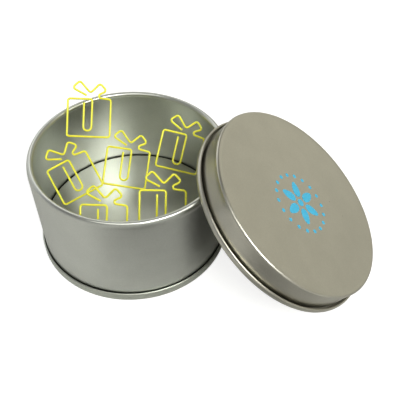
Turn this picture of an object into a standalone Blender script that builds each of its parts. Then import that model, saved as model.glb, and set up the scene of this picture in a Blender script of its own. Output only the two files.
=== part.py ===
"""Round tin with a seamed bottom, a loose slip lid leaning on it, and six gift-box wire clips.

The set stands on z = 0 and its front faces -y. The lid leans on the tin's rim on the +x side.
Everything is placed from the tin's axis first, and then the whole set is moved so that the middle
of its footprint is at the origin. Lengths are millimetres, turned into metres by MM.
"""
import math

import bmesh
import bpy
from mathutils import Matrix, Vector

MM = 0.001

# Tin
TIN_RADIUS = 45.0
TIN_HEIGHT = 50.8
SHEET = 0.5
RIM_CURL_RADIUS = 1.3
NECK_BEND_RADIUS = 8.0
NECK_LEAN = 19.0
FIT_GAP = 0.3
FLOOR_HEIGHT = 8.0
FLOOR_BEND = 0.8
SEAM_HEIGHT = 4.5
SEAM_THICKNESS = 0.9
ROUND_STEPS = 72

# Lid, seen from its top face, which is at depth 0
LID_RADIUS = 46.8
LID_EDGE_BEND = 0.8
LID_BEAD_RADIUS = 1.6
LID_BEAD_DEPTH = 11.2
LID_BEAD_REACH = 48.9

# How the lid leans: its tilt, the way its top face looks, and where its centre is
LID_TILT = 35.2
LID_HEADING = -19.0
LID_DISTANCE = 78.95
LID_BEARING = -21.1
GROUND_GAP = 0.1

# Wire clip: one wire bent into a gift box with a ribbon tongue and a bow
WIRE_RADIUS = 0.5
BOX_HALF_WIDTH = 10.25
BOX_HALF_HEIGHT = 9.0
TONGUE_LEFT = -2.5
TONGUE_RIGHT = 1.4
BEND_RADIUS = 1.2
BEND_STEPS = 4

# Every clip leans back by the same angle and faces the same way
CLIP_LEAN = 43.5
CLIP_HEADING = -10.2
CLIP_PLACES = {
    "clip_1": ((-17.3, 26.8, 49.4), -0.4),
    "clip_2": ((-26.2, 3.9, 32.6), 29.9),
    "clip_3": ((-2.0, 8.1, 32.2), -6.5),
    "clip_4": ((24.6, 12.5, 35.2), -11.4),
    "clip_5": ((-14.2, -26.3, 31.0), 0.2),
    "clip_6": ((12.1, -23.8, 34.0), 0.8),
}


def clear_scene():
    for leftover in list(bpy.data.objects):
        bpy.data.objects.remove(leftover)


def finish(name, colour, metallic, roughness):
    material = bpy.data.materials.new(name)
    material.use_nodes = True
    shader = material.node_tree.nodes["Principled BSDF"]
    shader.inputs["Base Color"].default_value = (*colour, 1.0)
    shader.inputs["Metallic"].default_value = metallic
    shader.inputs["Roughness"].default_value = roughness
    return material


def arc(centre, radius, start, end, steps):
    """Points along an arc in the profile plane. Angles are degrees, and 0 points outward."""
    points = []
    for step in range(steps + 1):
        angle = math.radians(start + (end - start) * step / steps)
        across = centre[0] + radius * math.cos(angle)
        up = centre[1] + radius * math.sin(angle)
        points.append((across, up))
    return points


def turned(name, profile, closed_ring, material):
    """One solid of revolution about z from a profile of (radius, height) points."""
    shape = bmesh.new()
    corners = [shape.verts.new((radius * MM, 0.0, height * MM)) for radius, height in profile]
    edges = [shape.edges.new(pair) for pair in zip(corners, corners[1:])]
    if closed_ring:
        edges.append(shape.edges.new((corners[-1], corners[0])))
    bmesh.ops.spin(
        shape,
        geom=corners + edges,
        cent=(0.0, 0.0, 0.0),
        axis=(0.0, 0.0, 1.0),
        angle=math.tau,
        steps=ROUND_STEPS,
        use_merge=True,
    )
    bmesh.ops.remove_doubles(shape, verts=shape.verts, dist=0.001 * MM)
    bmesh.ops.recalc_face_normals(shape, faces=shape.faces)
    mesh = bpy.data.meshes.new(name)
    shape.to_mesh(mesh)
    shape.free()
    mesh.shade_smooth()
    mesh.set_sharp_from_angle(angle=math.radians(35))
    mesh.materials.append(material)
    piece = bpy.data.objects.new(name, mesh)
    bpy.context.scene.collection.objects.link(piece)
    return piece


def make_tin_wall():
    """The straight wall, drawn in a little under its top edge, which is curled inward into a rim."""
    inner = TIN_RADIUS - SHEET
    foot = SEAM_THICKNESS + FIT_GAP
    lean = math.radians(NECK_LEAN)
    drawn_in = NECK_BEND_RADIUS * (1.0 - math.cos(lean))
    curl_centre = (
        TIN_RADIUS - drawn_in - RIM_CURL_RADIUS * math.cos(lean),
        TIN_HEIGHT - RIM_CURL_RADIUS,
    )
    neck_level = curl_centre[1] + (RIM_CURL_RADIUS - NECK_BEND_RADIUS) * math.sin(lean)
    neck_centre = (TIN_RADIUS - NECK_BEND_RADIUS, neck_level)
    profile = [(inner, foot), (TIN_RADIUS, foot)]
    profile += arc(neck_centre, NECK_BEND_RADIUS, 0.0, NECK_LEAN, 3)
    profile += arc(curl_centre, RIM_CURL_RADIUS, NECK_LEAN + 20.0, 320.0, 11)
    profile += arc(neck_centre, NECK_BEND_RADIUS - SHEET, NECK_LEAN / 2, 0.0, 2)
    material = finish("wall_tinplate", (0.42, 0.42, 0.38), 1.0, 0.38)
    return turned("tin_wall", profile, True, material)


def make_tin_bottom():
    """The bottom panel, set up inside the wall, with the rolled seam that hooks under the wall."""
    wall_side = TIN_RADIUS - SHEET - FIT_GAP
    hook_inner = TIN_RADIUS + FIT_GAP
    hook_radius = SEAM_THICKNESS / 2
    hook_centre = (hook_inner + hook_radius, SEAM_HEIGHT - hook_radius)
    foot_bend = 0.5
    floor_centre = (wall_side - FLOOR_BEND, FLOOR_HEIGHT - FLOOR_BEND)
    outer = hook_inner + SEAM_THICKNESS
    profile = [(0.0, FLOOR_HEIGHT)]
    profile += arc(floor_centre, FLOOR_BEND, 90.0, 0.0, 3)
    profile += [(wall_side, SEAM_THICKNESS), (hook_inner, SEAM_THICKNESS)]
    profile += arc(hook_centre, hook_radius, 180.0, 0.0, 4)
    profile += arc((outer - foot_bend, foot_bend), foot_bend, 0.0, -90.0, 3)
    under = wall_side - SHEET
    profile += [(under + FIT_GAP, 0.0), (under, FIT_GAP)]
    profile += arc(floor_centre, FLOOR_BEND - SHEET, 0.0, 90.0, 2)
    profile += [(0.0, FLOOR_HEIGHT - SHEET)]
    material = finish("bottom_tinplate", (0.40, 0.40, 0.36), 1.0, 0.42)
    return turned("tin_bottom", profile, False, material)


def lid_stand():
    """An empty at the middle of the lid's top face, so placed that the lid's bead meets the ground."""
    tilt = math.radians(LID_TILT)
    bearing = math.radians(LID_BEARING)
    bead_circle = LID_BEAD_REACH - LID_BEAD_RADIUS
    height = LID_BEAD_DEPTH * math.cos(tilt) + bead_circle * math.sin(tilt) + LID_BEAD_RADIUS + GROUND_GAP
    place = Vector((LID_DISTANCE * math.cos(bearing), LID_DISTANCE * math.sin(bearing), height))
    stand = bpy.data.objects.new("lid_stand", None)
    turn = Matrix.Rotation(math.radians(LID_HEADING), 4, "Z") @ Matrix.Rotation(tilt, 4, "Y")
    stand.matrix_world = Matrix.Translation(place * MM) @ turn
    bpy.context.scene.collection.objects.link(stand)
    return stand


def make_lid():
    """A flat top, a straight skirt, and the skirt's edge rolled outward into a bead."""
    skirt_inner = LID_RADIUS - SHEET
    bead_centre = (LID_BEAD_REACH - LID_BEAD_RADIUS, -LID_BEAD_DEPTH)
    outer_meet = 180.0 - math.degrees(math.acos((bead_centre[0] - LID_RADIUS) / LID_BEAD_RADIUS))
    inner_meet = math.degrees(math.acos((bead_centre[0] - skirt_inner) / LID_BEAD_RADIUS)) - 180.0
    edge_centre = (LID_RADIUS - LID_EDGE_BEND, -LID_EDGE_BEND)
    profile = [(0.0, 0.0)]
    profile += arc(edge_centre, LID_EDGE_BEND, 90.0, 0.0, 3)
    profile += arc(bead_centre, LID_BEAD_RADIUS, outer_meet, inner_meet, 10)
    profile += arc(edge_centre, LID_EDGE_BEND - SHEET, 0.0, 90.0, 2)
    profile += [(0.0, -SHEET)]
    material = finish("lid_tinplate", (0.40, 0.37, 0.29), 1.0, 0.42)
    lid = turned("lid", profile, False, material)
    lid.parent = lid_stand()
    return lid


def rounded(corners, radius, steps):
    """The line through these corners, with each inner corner rounded by an arc of this radius."""
    line = [Vector(corners[0])]
    for before, corner, after in zip(corners, corners[1:], corners[2:]):
        corner = Vector(corner)
        back = (Vector(before) - corner).normalized()
        ahead = (Vector(after) - corner).normalized()
        half = back.angle(ahead) / 2
        room = 0.48 * min((Vector(before) - corner).length, (Vector(after) - corner).length)
        bend = min(radius, room * math.tan(half))
        centre = corner + (back + ahead).normalized() * (bend / math.sin(half))
        start = corner + back * (bend / math.tan(half)) - centre
        sweep = start.angle_signed(corner + ahead * (bend / math.tan(half)) - centre)
        for step in range(steps + 1):
            turn = Matrix.Rotation(-sweep * step / steps, 2)
            line.append(centre + turn @ start)
    line.append(Vector(corners[-1]))
    return line


def clip_outline():
    """The bent wire from the tongue's loose end, round the box and through both loops of the bow."""
    tongue_middle = (TONGUE_LEFT + TONGUE_RIGHT) / 2
    tongue_half = (TONGUE_RIGHT - TONGUE_LEFT) / 2
    tongue_foot = -4.2
    tongue = [(TONGUE_LEFT, 6.9), (TONGUE_LEFT, tongue_foot)]
    for step in range(1, 6):
        angle = math.pi + math.pi * step / 6
        across = tongue_middle + tongue_half * math.cos(angle)
        tongue.append((across, tongue_foot + tongue_half * math.sin(angle)))
    tongue = [Vector(point) for point in tongue]
    bends = [
        (TONGUE_RIGHT, tongue_foot),
        (TONGUE_RIGHT, BOX_HALF_HEIGHT),
        (-BOX_HALF_WIDTH, BOX_HALF_HEIGHT),
        (-BOX_HALF_WIDTH, -BOX_HALF_HEIGHT),
        (BOX_HALF_WIDTH, -BOX_HALF_HEIGHT),
        (BOX_HALF_WIDTH, BOX_HALF_HEIGHT),
        (2.1, 10.0),
        (8.3, 13.1),
        (4.9, 16.6),
        (0.45, 11.9),
        (-4.8, 17.6),
        (-8.4, 14.2),
        (-1.7, 10.9),
    ]
    return tongue + rounded(bends, BEND_RADIUS, BEND_STEPS)


def clip_curve():
    curve = bpy.data.curves.new("clip_wire", "CURVE")
    curve.dimensions = "3D"
    outline = clip_outline()
    spline = curve.splines.new("POLY")
    spline.points.add(len(outline) - 1)
    for point, place in zip(spline.points, outline):
        point.co = (place.x * MM, place.y * MM, 0.0, 1.0)
    curve.bevel_depth = WIRE_RADIUS * MM
    curve.bevel_resolution = 1
    curve.use_fill_caps = True
    return curve


def make_clips():
    curve = clip_curve()
    curve.materials.append(finish("clip_yellow", (0.86, 0.75, 0.05), 0.0, 0.35))
    facing = Matrix.Rotation(math.radians(CLIP_HEADING), 4, "Z")
    leaning = Matrix.Rotation(math.radians(CLIP_LEAN), 4, "X")
    for name, (place, turn) in CLIP_PLACES.items():
        clip = bpy.data.objects.new(name, curve)
        turning = Matrix.Rotation(math.radians(turn), 4, "Z")
        clip.matrix_world = Matrix.Translation(Vector(place) * MM) @ facing @ leaning @ turning
        bpy.context.scene.collection.objects.link(clip)


def corners_of(piece, graph):
    """Every corner of the piece's surface, in the world."""
    solid = piece.evaluated_get(graph)
    corners = [solid.matrix_world @ corner.co for corner in solid.to_mesh().vertices]
    solid.to_mesh_clear()
    return corners


def centre_the_set():
    """Moves the loose objects together, so that the middle of the set's box is on the z axis."""
    bpy.context.view_layer.update()
    graph = bpy.context.evaluated_depsgraph_get()
    corners = []
    for piece in bpy.data.objects:
        if piece.type != "EMPTY":
            corners += corners_of(piece, graph)
    middle = Vector((0.0, 0.0, 0.0))
    for axis in (0, 1):
        along = [corner[axis] for corner in corners]
        middle[axis] = (min(along) + max(along)) / 2
    for piece in bpy.data.objects:
        if piece.parent is None:
            piece.location = piece.location - middle


clear_scene()
make_tin_wall()
make_tin_bottom()
make_lid()
make_clips()
centre_the_set()
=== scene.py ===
"""The looks of a round slip-lid tin that holds six gift-box wire clips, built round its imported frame."""
import math

import bpy
from mathutils import Matrix, Vector


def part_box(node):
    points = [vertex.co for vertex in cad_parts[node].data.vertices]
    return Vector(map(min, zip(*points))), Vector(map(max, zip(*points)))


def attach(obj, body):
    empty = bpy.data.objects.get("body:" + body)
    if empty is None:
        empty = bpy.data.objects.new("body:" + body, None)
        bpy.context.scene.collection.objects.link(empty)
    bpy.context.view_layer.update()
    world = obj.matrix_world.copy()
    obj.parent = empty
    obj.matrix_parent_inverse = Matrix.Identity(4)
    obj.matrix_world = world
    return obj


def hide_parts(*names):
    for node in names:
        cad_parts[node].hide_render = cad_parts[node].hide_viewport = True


MM = 0.001

# Proportions inside the frame's boxes, in millimetres; the frame's own sheet is a little thicker
TIN_RADIUS = 45.0
SHEET = 0.4
FRAME_SHEET = 0.5
FOLD_GAP = 0.3
RIM_CURL = 1.3
NECK_BEND = 8.0
FLOOR_LEVEL = 8.0
FLOOR_BEND = 0.8
SEAM_TOP = 4.5
SEAM_TOP_BEND = 0.55
SEAM_WAIST = 2.6
SEAM_FOOT_BEND = 0.7
SEAM_HOOK = 0.9
SIDE_SEAM_LAP = 1.4
SIDE_SEAM_EDGE = 0.35
SIDE_SEAM_RISE = 0.13
LID_RADIUS = 46.8
LID_SHOULDER = 0.9
LID_BEAD_REACH = 48.9
LID_BEAD_RADIUS = 1.6
LID_DEPTH = 12.8
LID_GROOVE = 0.8
LID_PANEL_SINK = 0.18
PRINT_RADIUS = 14.2
PRINT_SHIFT = -2.8
WIRE_RADIUS = 0.5

# Rings that divide a flat round panel, as radii in millimetres, and steps round a turned piece
PANEL_RINGS = (15.0, 30.0)
ROUND_STEPS = 180

# Angles in the tin's profile and round its wall, in degrees
NECK_LEAN = 19.0
CURL_START = 27.0
CURL_END = 318.0
SIDE_SEAM_HEADING = 3.0

# How the lid and the clips stand, in degrees
LID_TILT = 35.2
LID_HEADING = -19.0
CLIP_LEAN = 43.5
CLIP_HEADING = -10.2
CLIP_TURNS = {"clip_1": -0.4, "clip_2": 29.9, "clip_3": -6.5, "clip_4": -11.4, "clip_5": 0.2, "clip_6": 0.8}

# The camera, measured from the middle of the tin's foot
CAMERA_BACK = 184.65
CAMERA_HEIGHT = 210.77
CAMERA_PITCH = 46.51
CAMERA_HEADING = 10.15
CAMERA_ROLL = 1.65
CAMERA_LENS = 48.6

# Painted shadows: dim rounds of the floor, seen only in what the metal mirrors. Each has its place from
# the tin's foot, the radii in millimetres where it starts and stops fading out, and its share of the light.
PAINTED_SHADOW_SPOTS = (
    (20.0, -150.0, 40.0, 120.0, 0.35),
    (62.0, -42.0, 5.0, 28.0, 0.45),
    (270.0, 60.0, 120.0, 260.0, 0.3),
)

UPRIGHT = Matrix.Identity(4)


# ---- shapes ----


def arc(centre, radii, start, end, steps):
    """Points along an arc of an ellipse in the profile plane, from one angle to another in degrees."""
    points = []
    for step in range(steps + 1):
        angle = math.radians(start + (end - start) * step / steps)
        points.append((centre[0] + radii[0] * math.cos(angle), centre[1] + radii[1] * math.sin(angle)))
    return points


def turn_angles(fine_at=None, fine_half_width=0.0):
    """Angles round a turned piece, closer together within fine_half_width of fine_at, in radians."""
    angles = [math.tau * step / ROUND_STEPS for step in range(ROUND_STEPS)]
    if fine_at is not None:
        fine_steps = 24
        for step in range(fine_steps + 1):
            angles.append(fine_at + fine_half_width * (2 * step / fine_steps - 1))
    tidy = []
    for angle in sorted(angle % math.tau for angle in angles):
        if not tidy or angle - tidy[-1] > 1e-5:
            tidy.append(angle)
    return tidy


def note_vectors(mesh, name, vectors):
    """Keeps one vector for each vertex under a name that the materials read."""
    layer = mesh.attributes.new(name, "FLOAT_VECTOR", "POINT")
    layer.data.foreach_set("vector", [value for vector in vectors for value in vector])


def link_mesh(name, corners, faces, turn):
    """A piece turned in its mesh; its own unturned coordinates stay with it as local."""
    mesh = bpy.data.meshes.new(name)
    mesh.from_pydata(corners, [], faces)
    note_vectors(mesh, "local", corners)
    mesh.transform(turn)
    mesh.update()
    piece = bpy.data.objects.new(name, mesh)
    bpy.context.scene.collection.objects.link(piece)
    return piece


def turned(name, profile, closed_ring, turn=UPRIGHT, angles=None, swell=None):
    """A solid of revolution, its faces turned outward whichever way the profile runs.

    swell(radius, height, angle) adds to the radius, in millimetres.
    """
    angles = angles or turn_angles()
    corners = []
    rings = []
    for radius, height in profile:
        if radius < 1e-6:
            rings.append([len(corners)])
            corners.append((0.0, 0.0, height * MM))
            continue
        ring = []
        for angle in angles:
            reach = radius + (swell(radius, height, angle) if swell else 0.0)
            ring.append(len(corners))
            corners.append((reach * math.cos(angle) * MM, reach * math.sin(angle) * MM, height * MM))
        rings.append(ring)
    pairs = list(zip(rings, rings[1:]))
    if closed_ring:
        pairs.append((rings[-1], rings[0]))
    faces = []
    count = len(angles)
    for lower, upper in pairs:
        for step in range(count):
            after = (step + 1) % count
            if len(lower) == 1:
                faces.append((lower[0], upper[after], upper[step]))
            elif len(upper) == 1:
                faces.append((lower[step], lower[after], upper[0]))
            else:
                faces.append((lower[step], lower[after], upper[after], upper[step]))
    around = zip(profile, profile[1:] + profile[:1])
    if sum(first[0] * second[1] - second[0] * first[1] for first, second in around) < 0.0:
        faces = [tuple(reversed(face)) for face in faces]
    piece = link_mesh(name, corners, faces, turn)
    piece.data.shade_smooth()
    piece.data.set_sharp_from_angle(angle=math.radians(50))
    return piece


def tin_wall_piece(height):
    """A rolled sheet with its welded side seam, drawn in at the top and curled inward into a rim."""
    foot = SEAM_HOOK + FOLD_GAP
    inner = TIN_RADIUS - SHEET
    lean = math.radians(NECK_LEAN)
    drawn_in = NECK_BEND * (1.0 - math.cos(lean))
    curl_centre = (TIN_RADIUS - drawn_in - RIM_CURL * math.cos(lean), height - RIM_CURL)
    neck = curl_centre[1] + (RIM_CURL - NECK_BEND) * math.sin(lean)
    neck_centre = (TIN_RADIUS - NECK_BEND, neck)
    inner_bend = NECK_BEND - SHEET
    levels = (SEAM_TOP + 2.0, height / 2, neck - 1.0)
    profile = [(inner, foot), (TIN_RADIUS, foot)]
    profile += [(TIN_RADIUS, level) for level in levels]
    profile += arc(neck_centre, (NECK_BEND, NECK_BEND), 0.0, NECK_LEAN, 8)
    profile += arc(curl_centre, (RIM_CURL, RIM_CURL), CURL_START, CURL_END, 36)
    profile += arc(neck_centre, (inner_bend, inner_bend), NECK_LEAN / 2, 0.0, 4)
    profile += [(inner, level) for level in reversed(levels)]
    seam_angle = math.radians(SIDE_SEAM_HEADING)

    def side_seam(reach, level, angle):
        turn = (angle - seam_angle + math.pi) % math.tau - math.pi
        past_lap = abs(turn * TIN_RADIUS) - SIDE_SEAM_LAP
        rise = 1.0 - min(max(past_lap / SIDE_SEAM_EDGE + 0.5, 0.0), 1.0)
        outside = reach > inner + SHEET / 4 and level < neck
        return SIDE_SEAM_RISE * rise if outside else 0.0

    angles = turn_angles(seam_angle, (SIDE_SEAM_LAP + 1.0) / TIN_RADIUS)
    return turned("wall_sheet", profile, True, UPRIGHT, angles, side_seam)


def tin_bottom_piece():
    """The bottom panel with its rolled double seam, which shows two soft bands outside."""
    wall_side = TIN_RADIUS - FRAME_SHEET - FOLD_GAP
    hook_inner = TIN_RADIUS + FOLD_GAP
    outer = hook_inner + SEAM_HOOK
    hook_half = SEAM_HOOK / 2
    floor_centre = (wall_side - FLOOR_BEND, FLOOR_LEVEL - FLOOR_BEND)
    profile = [(0.0, FLOOR_LEVEL)]
    profile += [(ring, FLOOR_LEVEL) for ring in PANEL_RINGS]
    profile += arc(floor_centre, (FLOOR_BEND, FLOOR_BEND), 90.0, 0.0, 8)
    profile += [(wall_side, SEAM_HOOK), (hook_inner, SEAM_HOOK)]
    top_centre = (hook_inner + hook_half, SEAM_TOP - SEAM_TOP_BEND)
    profile += arc(top_centre, (hook_half, SEAM_TOP_BEND), 180.0, 0.0, 12)
    # How far the seam dips in, and how far above its waist
    waist = ((0.0, 0.5), (0.05, 0.2), (0.16, 0.0), (0.05, -0.2), (0.0, -0.5))
    profile += [(outer - dip, SEAM_WAIST + above) for dip, above in waist]
    profile += [(outer, SEAM_FOOT_BEND + 0.5)]
    foot_centre = (outer - SEAM_FOOT_BEND, SEAM_FOOT_BEND)
    profile += arc(foot_centre, (SEAM_FOOT_BEND, SEAM_FOOT_BEND), 0.0, -90.0, 8)
    under = wall_side - SHEET
    profile += [(under + SHEET, 0.0), (under + SHEET / 4, SHEET / 4), (under, SHEET)]
    profile += arc(floor_centre, (FLOOR_BEND - SHEET, FLOOR_BEND - SHEET), 0.0, 90.0, 6)
    below = FLOOR_LEVEL - SHEET
    profile += [(ring, below) for ring in reversed(PANEL_RINGS)]
    profile += [(0.0, below)]
    return turned("bottom_panel", profile, False)


def lid_piece(turn):
    """A pressed lid: sunk top panel, rounded shoulder, straight skirt, and its edge rolled outward."""
    bead_level = LID_BEAD_RADIUS - LID_DEPTH
    skirt_inner = LID_RADIUS - SHEET
    edge = LID_RADIUS - LID_SHOULDER
    panel = -LID_PANEL_SINK
    # How far inside the top's edge, and how far above the panel
    panel_rise = ((1.6, 0.0), (1.1, 0.03), (0.6, 0.12), (0.2, 0.16), (0.0, LID_PANEL_SINK))
    profile = [(0.0, panel)]
    profile += [(ring, panel) for ring in PANEL_RINGS]
    profile += [(edge - inset, panel + rise) for inset, rise in panel_rise]
    profile += arc((edge, -LID_SHOULDER), (LID_SHOULDER, LID_SHOULDER), 80.0, 0.0, 9)
    # How far inside the lid's radius, and at what level
    skirt = ((0.08, -1.3), (0.14, -1.7), (0.14, -4.0), (0.1, -7.0), (0.05, -9.3), (0.05, -11.7))
    profile += [(LID_RADIUS - inset, level) for inset, level in skirt]
    curl_inner = LID_RADIUS + LID_GROOVE
    curl_half = (LID_BEAD_REACH - curl_inner) / 2
    crest = 1.0
    crest_level = bead_level + LID_BEAD_RADIUS - crest
    groove_foot = bead_level - 0.5
    profile += [(curl_inner - 0.1, groove_foot - 0.2), (curl_inner, groove_foot)]
    profile += arc((curl_inner + curl_half, crest_level), (curl_half, crest), 180.0, 90.0, 8)
    profile += arc((curl_inner + curl_half, bead_level), (curl_half, LID_BEAD_RADIUS), 80.0, 0.0, 9)
    bead_centre = (LID_BEAD_REACH - LID_BEAD_RADIUS, bead_level)
    profile += arc(bead_centre, (LID_BEAD_RADIUS, LID_BEAD_RADIUS), -8.0, -128.0, 16)
    profile += [(skirt_inner, bead_level - 0.1), (skirt_inner, -7.0)]
    bend = LID_SHOULDER - SHEET
    profile += arc((edge, -LID_SHOULDER), (bend, bend), 0.0, 90.0, 6)
    below = panel - SHEET
    profile += [(edge - panel_rise[0][0], below)]
    profile += [(ring, below) for ring in reversed(PANEL_RINGS)]
    profile += [(0.0, below)]
    return turned("lid_shell", profile, False, turn)


# ---- the bent wire ----


def rounded(corners, radius, steps):
    """The line through these corners, with each inner corner rounded by an arc of this radius."""
    line = [Vector(corners[0])]
    for before, corner, after in zip(corners, corners[1:], corners[2:]):
        corner = Vector(corner)
        back = (Vector(before) - corner).normalized()
        ahead = (Vector(after) - corner).normalized()
        half = back.angle(ahead) / 2
        room = 0.48 * min((Vector(before) - corner).length, (Vector(after) - corner).length)
        bend = min(radius, room * math.tan(half))
        centre = corner + (back + ahead).normalized() * (bend / math.sin(half))
        start = corner + back * (bend / math.tan(half)) - centre
        sweep = start.angle_signed(corner + ahead * (bend / math.tan(half)) - centre)
        for step in range(steps + 1):
            line.append(centre + Matrix.Rotation(-sweep * step / steps, 2) @ start)
    line.append(Vector(corners[-1]))
    return line


def clip_outline():
    """The wire's middle line, from the tongue's loose end, round the box and through both bow loops."""
    left, right, tongue_foot = -2.5, 1.4, -4.2
    middle, half = (left + right) / 2, (right - left) / 2
    tongue = [(left, level) for level in (6.9, 4.0, 0.0, tongue_foot)]
    steps = 14
    for step in range(1, steps):
        angle = math.pi + math.pi * step / steps
        tongue.append((middle + half * math.cos(angle), tongue_foot + half * math.sin(angle)))
    width, height = 10.25, 9.0
    bends = [(right, tongue_foot), (right, height), (-width, height), (-width, -height)]
    bends += [(width, -height), (width, height), (2.1, 10.0), (8.3, 13.1), (4.9, 16.6)]
    bends += [(0.45, 11.9), (-4.8, 17.6), (-8.4, 14.2), (-1.7, 10.9)]
    return [Vector(point) for point in tongue] + rounded(bends, 1.2, 10)


def wire_piece(name, line, turn):
    """A round wire along a flat line, closed at both ends by domes."""
    sides = 16
    rings = []
    ends = 5
    for index, point in enumerate(line):
        before = line[max(index - 1, 0)]
        after = line[min(index + 1, len(line) - 1)]
        along = (after - before).normalized()
        rings.append((point, along, 1.0))
    first, last = rings[0], rings[-1]
    for step in range(1, ends):
        angle = math.pi / 2 * step / ends
        out = WIRE_RADIUS * math.sin(angle)
        rings.insert(0, (first[0] - first[1] * out, first[1], math.cos(angle)))
        rings.append((last[0] + last[1] * out, last[1], math.cos(angle)))
    corners = []
    for point, along, share in rings:
        across = Vector((-along.y, along.x))
        for side in range(sides):
            angle = math.tau * side / sides
            flat = point + across * (WIRE_RADIUS * share * math.cos(angle))
            corners.append((flat.x * MM, flat.y * MM, WIRE_RADIUS * share * math.sin(angle) * MM))
    faces = []
    for ring in range(len(rings) - 1):
        for side in range(sides):
            after = (side + 1) % sides
            low, high = ring * sides, (ring + 1) * sides
            faces.append((low + side, low + after, high + after, high + side))
    tips = [first[0] - first[1] * WIRE_RADIUS, last[0] + last[1] * WIRE_RADIUS]
    corners += [(tip.x * MM, tip.y * MM, 0.0) for tip in tips]
    start_tip, end_tip = len(corners) - 2, len(corners) - 1
    top = (len(rings) - 1) * sides
    for side in range(sides):
        after = (side + 1) % sides
        faces.append((start_tip, after, side))
        faces.append((end_tip, top + side, top + after))
    piece = link_mesh(name, corners, faces, turn)
    piece.data.shade_smooth()
    return piece


# ---- the print on the lid ----


def petal(distance, heading, length, width):
    """A leaf shape whose middle lies at this distance and heading from the lid's middle."""
    outline = []
    steps = 24
    taper = 0.45 * (1.0 - width / length)
    for step in range(steps):
        angle = math.tau * step / steps
        along = length / 2 * math.cos(angle)
        across = width / 2 * math.sin(angle) * (1.0 - taper * math.cos(angle))
        outline.append(Matrix.Rotation(heading, 2) @ Vector((distance + along, across)))
    return outline


def print_piece(turn):
    """A plain flower of six leaves in a ring of dots, as a thin film of ink on the lid's panel."""
    leaves, dots = 6, 18
    heart, dot_width = 0.25 * PRINT_RADIUS, 1.9
    leaf_distance, leaf_length, leaf_width = 0.48 * PRINT_RADIUS, 0.55 * PRINT_RADIUS, 0.3 * PRINT_RADIUS
    outlines = [petal(0.0, 0.0, heart, heart)]
    for leaf in range(leaves):
        outlines.append(petal(leaf_distance, math.tau * leaf / leaves, leaf_length, leaf_width))
    for dot in range(dots):
        outlines.append(petal(PRINT_RADIUS, math.tau * (dot + 0.5) / dots, dot_width, dot_width))
    sunk, proud = 0.02, 0.03
    low, high = -LID_PANEL_SINK - sunk, -LID_PANEL_SINK + proud
    corners = []
    faces = []
    for outline in outlines:
        first, count = len(corners), len(outline)
        for level in (low, high):
            corners += [(spot.x * MM, (spot.y + PRINT_SHIFT) * MM, level * MM) for spot in outline]
        faces.append(tuple(first + step for step in reversed(range(count))))
        faces.append(tuple(first + count + step for step in range(count)))
        for step in range(count):
            after = (step + 1) % count
            faces.append((first + step, first + after, first + count + after, first + count + step))
    return link_mesh("lid_print", corners, faces, turn)


# ---- placing pieces on the frame ----


def middle_of(node):
    low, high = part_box(node)
    return (low + high) / 2


def settle_on(piece, node):
    """Moves the piece so that its box has the same middle as the node's."""
    places = [vertex.co for vertex in piece.data.vertices]
    low = Vector([min(place[axis] for place in places) for axis in range(3)])
    high = Vector([max(place[axis] for place in places) for axis in range(3)])
    piece.location = middle_of(node) - (low + high) / 2


def stand_in(piece, body, node):
    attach(piece, body)
    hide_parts(node)


# ---- materials ----


def new_material(name):
    material = bpy.data.materials.new(name)
    material.use_nodes = True
    tree = material.node_tree
    return material, tree, tree.nodes["Principled BSDF"]


def add(tree, kind, **settings):
    """A node whose named inputs, or else its own properties, are set to these values."""
    node = tree.nodes.new(kind)
    for key, value in settings.items():
        if key in node.inputs:
            node.inputs[key].default_value = value
        else:
            setattr(node, key, value)
    return node


def own_place(tree, stretch):
    """The piece's own coordinates, multiplied by the stretch for x, y and z."""
    place = add(tree, "ShaderNodeAttribute", attribute_name="local")
    mapping = add(tree, "ShaderNodeMapping", Scale=stretch)
    tree.links.new(place.outputs["Vector"], mapping.inputs["Vector"])
    return mapping.outputs["Vector"]


def noise(tree, scale, detail=2.0, stretch=(1.0, 1.0, 1.0)):
    texture = add(tree, "ShaderNodeTexNoise", Scale=scale, Detail=detail)
    tree.links.new(own_place(tree, stretch), texture.inputs["Vector"])
    return texture.outputs["Fac"]


def remap(tree, source, source_range, target_range):
    node = add(tree, "ShaderNodeMapRange")
    node.inputs["From Min"].default_value, node.inputs["From Max"].default_value = source_range
    node.inputs["To Min"].default_value, node.inputs["To Max"].default_value = target_range
    tree.links.new(source, node.inputs["Value"])
    return node.outputs["Result"]


def ramp(tree, source, stops):
    """A colour ramp through these stops, read at the source's value."""
    node = add(tree, "ShaderNodeValToRGB")
    while len(node.color_ramp.elements) < len(stops):
        node.color_ramp.elements.new(0.5)
    for element, (position, colour) in zip(node.color_ramp.elements, stops):
        element.position = position
        element.color = (*colour, 1.0)
    tree.links.new(source, node.inputs["Fac"])
    return node.outputs["Color"]


def combine(tree, operation, first, second):
    """One number from two: each is a socket or a plain value."""
    node = add(tree, "ShaderNodeMath", operation=operation)
    for socket, value in zip(node.inputs, (first, second)):
        if isinstance(value, bpy.types.NodeSocket):
            tree.links.new(value, socket)
        else:
            socket.default_value = value
    return node.outputs["Value"]


def scaled_colour(tree, colour, amount):
    """A colour multiplied by a number; both are sockets."""
    node = add(tree, "ShaderNodeVectorMath", operation="SCALE")
    tree.links.new(colour, node.inputs[0])
    tree.links.new(amount, node.inputs["Scale"])
    return node.outputs["Vector"]


def press_bump(tree, shader, height, strength, depth):
    bump = add(tree, "ShaderNodeBump", Strength=strength, Distance=depth)
    tree.links.new(height, bump.inputs["Height"])
    tree.links.new(bump.outputs["Normal"], shader.inputs["Normal"])


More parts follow.
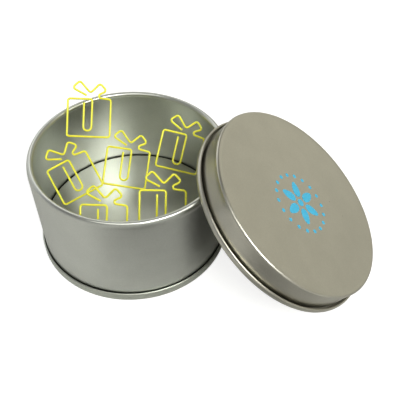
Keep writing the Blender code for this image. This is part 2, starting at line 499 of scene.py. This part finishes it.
def specks(tree):
    """1.0 on clean metal, and less in a few pinprick marks."""
    cells = add(tree, "ShaderNodeTexVoronoi", Scale=110.0)
    tree.links.new(own_place(tree, (1.0, 1.0, 1.0)), cells.inputs["Vector"])
    few = add(tree, "ShaderNodeSeparateColor")
    tree.links.new(cells.outputs["Color"], few.inputs["Color"])
    size = remap(tree, few.outputs["Red"], (0.75, 1.0), (0.0, 0.035))
    inside = combine(tree, "LESS_THAN", cells.outputs["Distance"], size)
    return remap(tree, inside, (0.0, 1.0), (1.0, 0.35))


def scratches(tree):
    """0.0 on most of the sheet, rising to 1.0 along a few long hairlines."""
    lines = noise(tree, 260.0, 1.0, (0.06, 1.0, 0.8))
    parts = noise(tree, 45.0)
    fine = remap(tree, lines, (0.70, 0.74), (0.0, 1.0))
    return combine(tree, "MULTIPLY", fine, remap(tree, parts, (0.5, 0.6), (0.0, 1.0)))


def tinplate(name, colour, roughness):
    """Satin tinplate: faint clouding, a fine stipple, hairlines, pinprick marks, and painted shade in the
    folds.
    """
    material, tree, shader = new_material(name)
    clouds = noise(tree, 70.0, 3.0)
    stipple = noise(tree, 1500.0, 3.0)
    hairlines = scratches(tree)
    darker = tuple(channel * 0.965 for channel in colour)
    lighter = tuple(channel * 1.03 for channel in colour)
    tint = ramp(tree, clouds, [(0.35, darker), (0.65, lighter)])
    # Painted shade: the sheet is darkened in folds and creases wherever ambient occlusion finds other
    # surfaces close by.
    crease = add(tree, "ShaderNodeAmbientOcclusion", Distance=1.2 * MM, samples=8)
    painted_crease_shade = remap(tree, crease.outputs["AO"], (0.15, 0.75), (0.12, 1.0))
    shade = combine(tree, "MULTIPLY", painted_crease_shade, specks(tree))
    shade = combine(tree, "MULTIPLY", shade, remap(tree, stipple, (0.3, 0.7), (0.97, 1.03)))
    shade = combine(tree, "MULTIPLY", shade, remap(tree, hairlines, (0.0, 1.0), (1.0, 0.98)))
    tree.links.new(scaled_colour(tree, tint, shade), shader.inputs["Base Color"])
    shader.inputs["Metallic"].default_value = 1.0
    rough = remap(tree, clouds, (0.3, 0.7), (roughness - 0.02, roughness + 0.02))
    rough = combine(tree, "ADD", rough, combine(tree, "MULTIPLY", hairlines, 0.02))
    tree.links.new(rough, shader.inputs["Roughness"])
    press_bump(tree, shader, stipple, 0.05, 0.02 * MM)
    return material


def yellow_wire():
    """Steel wire in a glossy yellow coating that is a little uneven in colour and thickness."""
    material, tree, shader = new_material("clip_yellow_coating")
    clouds = noise(tree, 420.0)
    ripple = noise(tree, 900.0)
    tint = ramp(tree, clouds, [(0.3, (0.94, 0.90, 0.03)), (0.7, (1.0, 0.98, 0.07))])
    tree.links.new(tint, shader.inputs["Base Color"])
    tree.links.new(remap(tree, ripple, (0.3, 0.7), (0.4, 0.5)), shader.inputs["Roughness"])
    shader.inputs["Coat Weight"].default_value = 0.5
    shader.inputs["Coat Roughness"].default_value = 0.12
    press_bump(tree, shader, ripple, 0.15, 0.05 * MM)
    return material


def cyan_ink():
    """Printed ink that the sheet's fine grain shows through, so its tone and gloss vary a little."""
    material, tree, shader = new_material("cyan_ink")
    wear = noise(tree, 1200.0, 3.0)
    tint = ramp(tree, wear, [(0.30, (0.09, 0.40, 0.58)), (0.48, (0.05, 0.44, 0.70))])
    tree.links.new(tint, shader.inputs["Base Color"])
    tree.links.new(remap(tree, wear, (0.3, 0.7), (0.45, 0.6)), shader.inputs["Roughness"])
    press_bump(tree, shader, wear, 0.2, 0.03 * MM)
    return material


def pale_floor(foot):
    """A white table to the eye, and a soft grey one with painted shadows, as dim rounds, in what the metal
    mirrors.
    """
    material, tree, shader = new_material("pale_floor")
    shader.inputs["Roughness"].default_value = 0.9
    shader.inputs["Specular IOR Level"].default_value = 0.0
    place = add(tree, "ShaderNodeNewGeometry")
    painted_shadow_share = 1.0
    # Painted shadows: each round darkens the floor that only the metal's reflections see.
    for across, along, near, far, least in PAINTED_SHADOW_SPOTS:
        away = add(tree, "ShaderNodeVectorMath", operation="DISTANCE")
        tree.links.new(place.outputs["Position"], away.inputs[0])
        away.inputs[1].default_value = foot + Vector((across, along, 0.0)) * MM
        share = remap(tree, away.outputs["Value"], (near * MM, far * MM), (least, 1.0))
        painted_shadow_share = combine(tree, "MULTIPLY", share, painted_shadow_share)
    mirrored = ramp(tree, painted_shadow_share, [(0.0, (0.0, 0.0, 0.0)), (1.0, (0.62, 0.62, 0.61))])
    rays = add(tree, "ShaderNodeLightPath")
    paint = add(tree, "ShaderNodeMix", data_type="RGBA")
    paint.inputs[7].default_value = (0.45, 0.45, 0.45, 1.0)
    tree.links.new(rays.outputs["Is Camera Ray"], paint.inputs[0])
    tree.links.new(mirrored, paint.inputs[6])
    tree.links.new(paint.outputs[2], shader.inputs["Base Color"])
    shader.inputs["Emission Color"].default_value = (1.0, 1.0, 1.0, 1.0)
    lift = combine(tree, "MULTIPLY", rays.outputs["Is Camera Ray"], 0.78)
    tree.links.new(lift, shader.inputs["Emission Strength"])
    return material


# ---- stage ----


def make_floor(foot):
    half = 3.0
    corners = [(-half, -half, 0.0), (half, -half, 0.0), (half, half, 0.0), (-half, half, 0.0)]
    floor = link_mesh("floor", corners, [(0, 1, 2, 3)], UPRIGHT)
    floor.data.materials.append(pale_floor(foot))


def make_camera(foot):
    data = bpy.data.cameras.new("camera")
    data.lens = CAMERA_LENS
    data.clip_start = 0.01
    camera = bpy.data.objects.new("camera", data)
    turn = Matrix.Rotation(math.radians(-CAMERA_HEADING), 4, "Z")
    turn = turn @ Matrix.Rotation(math.radians(90.0 - CAMERA_PITCH), 4, "X")
    turn = turn @ Matrix.Rotation(math.radians(CAMERA_ROLL), 4, "Z")
    place = foot + Vector((0.0, -CAMERA_BACK, CAMERA_HEIGHT)) * MM
    camera.matrix_world = Matrix.Translation(place) @ turn
    bpy.context.scene.collection.objects.link(camera)
    bpy.context.scene.camera = camera


def area_light(name, foot, heading, height_angle, distance, size, power, colour):
    """A square soft light at a heading and height angle round the tin, turned to face it."""
    data = bpy.data.lights.new(name, "AREA")
    data.size = size
    data.energy = power
    data.color = colour
    light = bpy.data.objects.new(name, data)
    around, above = math.radians(heading), math.radians(height_angle)
    way = Vector((math.cos(around) * math.cos(above), math.sin(around) * math.cos(above), math.sin(above)))
    light.location = foot + way * distance
    light.rotation_mode = "QUATERNION"
    light.rotation_quaternion = way.to_track_quat("Z", "Y")
    bpy.context.scene.collection.objects.link(light)


def make_world():
    """A soft room, bright behind the object and dim in front, and plain white to the eye."""
    world = bpy.data.worlds.new("studio")
    world.use_nodes = True
    bpy.context.scene.world = world
    tree = world.node_tree
    background = tree.nodes["Background"]
    way = add(tree, "ShaderNodeTexCoord")
    parts = add(tree, "ShaderNodeSeparateXYZ")
    tree.links.new(way.outputs["Generated"], parts.inputs["Vector"])
    depth = remap(tree, parts.outputs["Y"], (-0.4, 0.6), (0.45, 0.78))
    fall = remap(tree, parts.outputs["Z"], (0.2, 0.6), (1.0, 0.3))
    side = remap(tree, parts.outputs["X"], (-0.8, 0.8), (0.0, 1.0))
    tint = ramp(tree, side, [(0.0, (1.0, 1.0, 0.98)), (1.0, (1.0, 0.97, 0.82))])
    shade = scaled_colour(tree, tint, combine(tree, "MULTIPLY", depth, fall))
    rays = add(tree, "ShaderNodeLightPath")
    seen = add(tree, "ShaderNodeMix", data_type="RGBA")
    seen.inputs[7].default_value = (1.0, 1.0, 1.0, 1.0)
    tree.links.new(rays.outputs["Is Camera Ray"], seen.inputs[0])
    tree.links.new(shade, seen.inputs[6])
    tree.links.new(seen.outputs[2], background.inputs["Color"])


def make_lights(foot):
    area_light("key", foot, -63.0, 47.0, 1.2, 0.6, 9.6, (1.0, 1.0, 0.95))
    area_light("right_front", foot, -18.0, 46.0, 1.2, 0.4, 2.0, (1.0, 1.0, 0.95))
    area_light("back", foot, 97.0, 43.0, 1.2, 0.4, 1.0, (1.0, 1.0, 0.97))
    area_light("back_left", foot, 135.0, 34.0, 1.2, 0.7, 0.8, (0.98, 1.0, 1.0))
    area_light("left_front", foot, 240.0, 62.0, 1.2, 0.5, 2.2, (1.0, 1.0, 0.92))


# ---- build ----

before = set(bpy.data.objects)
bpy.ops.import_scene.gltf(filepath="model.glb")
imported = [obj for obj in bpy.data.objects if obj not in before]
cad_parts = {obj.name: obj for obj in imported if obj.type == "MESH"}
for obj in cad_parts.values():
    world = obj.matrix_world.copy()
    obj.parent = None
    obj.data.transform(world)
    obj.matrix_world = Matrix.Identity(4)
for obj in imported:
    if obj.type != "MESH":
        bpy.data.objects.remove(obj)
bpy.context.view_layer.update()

wall_low, wall_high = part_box("tin_wall")
tin_foot = Vector(((wall_low.x + wall_high.x) / 2, (wall_low.y + wall_high.y) / 2, 0.0))

wall = tin_wall_piece(wall_high.z / MM)
wall.data.materials.append(tinplate("wall_tinplate", (0.60, 0.615, 0.58), 0.31))
wall.location = tin_foot
stand_in(wall, "tin", "tin_wall")

bottom = tin_bottom_piece()
bottom.data.materials.append(tinplate("bottom_tinplate", (0.54, 0.56, 0.51), 0.40))
bottom.location = tin_foot
stand_in(bottom, "tin", "tin_bottom")

lid_turn = Matrix.Rotation(math.radians(LID_HEADING), 4, "Z") @ Matrix.Rotation(
    math.radians(LID_TILT), 4, "Y"
)
lid = lid_piece(lid_turn)
lid.data.materials.append(tinplate("lid_tinplate", (0.575, 0.56, 0.495), 0.31))
settle_on(lid, "lid")
stand_in(lid, "lid", "lid")

ink = print_piece(lid_turn)
ink.data.materials.append(cyan_ink())
ink.location = lid.location.copy()
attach(ink, "lid")

coating = yellow_wire()
clip_stand = Matrix.Rotation(math.radians(CLIP_HEADING), 4, "Z") @ Matrix.Rotation(
    math.radians(CLIP_LEAN), 4, "X"
)
for clip_name, clip_turn in CLIP_TURNS.items():
    turn = clip_stand @ Matrix.Rotation(math.radians(clip_turn), 4, "Z")
    clip = wire_piece(clip_name + "_wire", clip_outline(), turn)
    clip.data.materials.append(coating)
    settle_on(clip, clip_name)
    stand_in(clip, clip_name, clip_name)

make_floor(tin_foot)
make_world()
make_lights(tin_foot)
make_camera(tin_foot)
bpy.context.scene.view_settings.view_transform = "Standard"
